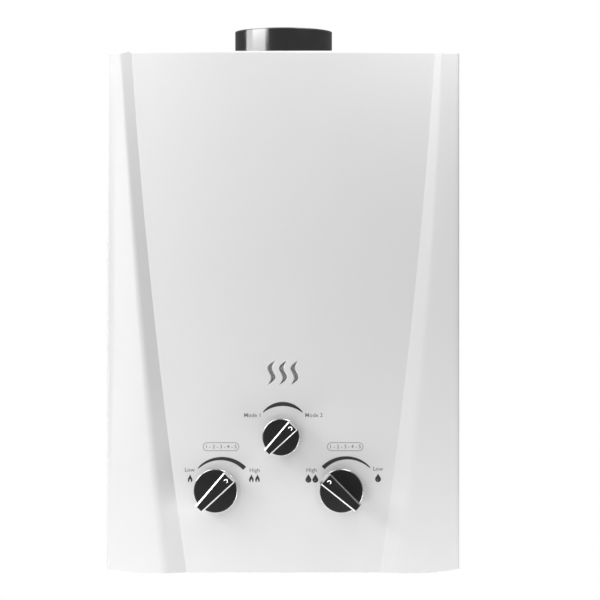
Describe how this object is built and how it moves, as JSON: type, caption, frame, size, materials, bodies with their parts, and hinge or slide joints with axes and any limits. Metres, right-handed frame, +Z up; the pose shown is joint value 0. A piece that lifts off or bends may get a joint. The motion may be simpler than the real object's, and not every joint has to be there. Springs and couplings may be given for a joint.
{
  "type": "gas water heater",
  "caption": "Wall-hung instantaneous gas water heater: recessed white front cover, flue spigot on top, turning knobs, and burner, heat exchanger and valves inside.",
  "frame": {"origin": "centre of the four wall holes, on the wall plane, at half the casing's height", "axes": "+Z up, +Y into the wall, +X to the viewer's right; the front faces -Y"},
  "size_m": [0.3, 0.1474, 0.4675],
  "materials": {
    "white_enamel": "gloss powder coat",
    "zinc_sheet": "galvanised sheet",
    "black_enamel": "gloss enamel",
    "steel": "satin",
    "copper": "bare copper",
    "brass": "machined",
    "cast_alloy": "die cast",
    "knob_plastic": "gloss",
    "case_plastic": "matte",
    "strainer": "matte",
    "rubber": "matte",
    "ceramic": "glazed",
    "lead_sleeve": "silicone sleeve",
    "cell_can": "printed can",
    "winding": "moulded"
  },
  "bodies": {
    "heater": {"back_plate": "zinc_sheet", "front_cover": "white_enamel", "top_plate": "zinc_sheet", "bottom_plate": "zinc_sheet", "window_mesh": "steel", "cover_screws": "steel", "flue_collar": "black_enamel", "draft_hood": "zinc_sheet", "flue_baffle": "zinc_sheet", "chamber_shell": "copper", "exchanger_fins": "copper", "exchanger_tubes": "copper", "cold_pipe": "copper", "hot_pipe": "copper", "overheat_switch": "case_plastic", "mounting_brackets": "zinc_sheet", "burner_frame": "zinc_sheet", "burner_bars": "steel", "gas_manifold": "cast_alloy", "gas_jets": "brass", "gas_riser": "cast_alloy", "gas_valve_body": "cast_alloy", "poppet_gland": "steel", "solenoid_coil": "winding", "season_valve_body": "cast_alloy", "spindle_glands": "steel", "water_valve_body": "brass", "diaphragm_cover": "brass", "diaphragm": "rubber", "valve_screws": "steel", "linkage_bracket": "zinc_sheet", "microswitch": "case_plastic", "gas_inlet": "brass", "water_inlet": "brass", "hot_outlet": "brass", "inlet_filter": "strainer", "pipe_nuts": "brass", "igniter_box": "case_plastic", "electrode_bracket": "zinc_sheet", "electrode_insulators": "ceramic", "electrode_pins": "steel", "leads": "lead_sleeve", "battery_box": "case_plastic", "battery_cells": "cell_can", "battery_frame": "case_plastic", "battery_hinge_pin": "steel"},
    "flame_control": {"flame_knob": "knob_plastic", "flame_spindle": "brass"},
    "water_control": {"water_knob": "knob_plastic", "water_spindle": "brass"},
    "season_control": {"season_knob": "knob_plastic", "season_spindle": "brass"},
    "water_push_rod": {"push_rod": "steel"},
    "gas_poppet_set": {"gas_poppet": "brass", "poppet_spring": "steel"},
    "switch_arm": {"switch_lever": "steel"},
    "magnet_plunger": {"solenoid_plunger": "steel"},
    "battery_door": {"battery_lid": "case_plastic"},
    "drain": {"drain_plug": "case_plastic"}
  },
  "joints": [
    {"name": "flame_turn", "type": "hinge", "parent": "heater", "child": "flame_control", "pos_m": [-0.05772, -0.125, -0.1528], "axis": [0, -1, 0], "range_deg": [0, 90]},
    {"name": "water_turn", "type": "hinge", "parent": "heater", "child": "water_control", "pos_m": [0.04959, -0.125, -0.1528], "axis": [0, -1, 0], "range_deg": [-90, 0]},
    {"name": "season_turn", "type": "hinge", "parent": "heater", "child": "season_control", "pos_m": [-0.0019, -0.125, -0.107], "axis": [0, -1, 0], "range_deg": [0, 90]},
    {"name": "push_slide", "type": "slide", "parent": "heater", "child": "water_push_rod", "axis": [-1, 0, 0], "range_m": [0, 0.005], "stiffness_N_per_m": 400, "springref_m": -0.004},
    {"name": "poppet_slide", "type": "slide", "parent": "heater", "child": "gas_poppet_set", "axis": [-1, 0, 0], "range_m": [0, 0.005]},
    {"name": "lever_swing", "type": "hinge", "parent": "heater", "child": "switch_arm", "pos_m": [0.00278, -0.058, -0.1328], "axis": [0, 1, 0], "range_deg": [0, 20.6]},
    {"name": "plunger_slide", "type": "slide", "parent": "heater", "child": "magnet_plunger", "axis": [-1, 0, 0], "range_m": [0, 0.003], "stiffness_N_per_m": 300, "springref_m": -0.003},
    {"name": "lid_hinge", "type": "hinge", "parent": "heater", "child": "battery_door", "pos_m": [0.121, -0.01, -0.19705], "axis": [1, 0, 0], "range_deg": [0, 90]},
    {"name": "drain_turn", "type": "hinge", "parent": "heater", "child": "drain", "pos_m": [0.08229, -0.058, -0.1925], "axis": [0, 0, 1], "range_deg": [0, 360]}
  ],
  "couplings": [
    {"joint": "poppet_slide", "follows": "push_slide", "ratio": 1},
    {"joint": "lever_swing", "follows": "push_slide", "rad_per_m": 71.43}
  ]
}
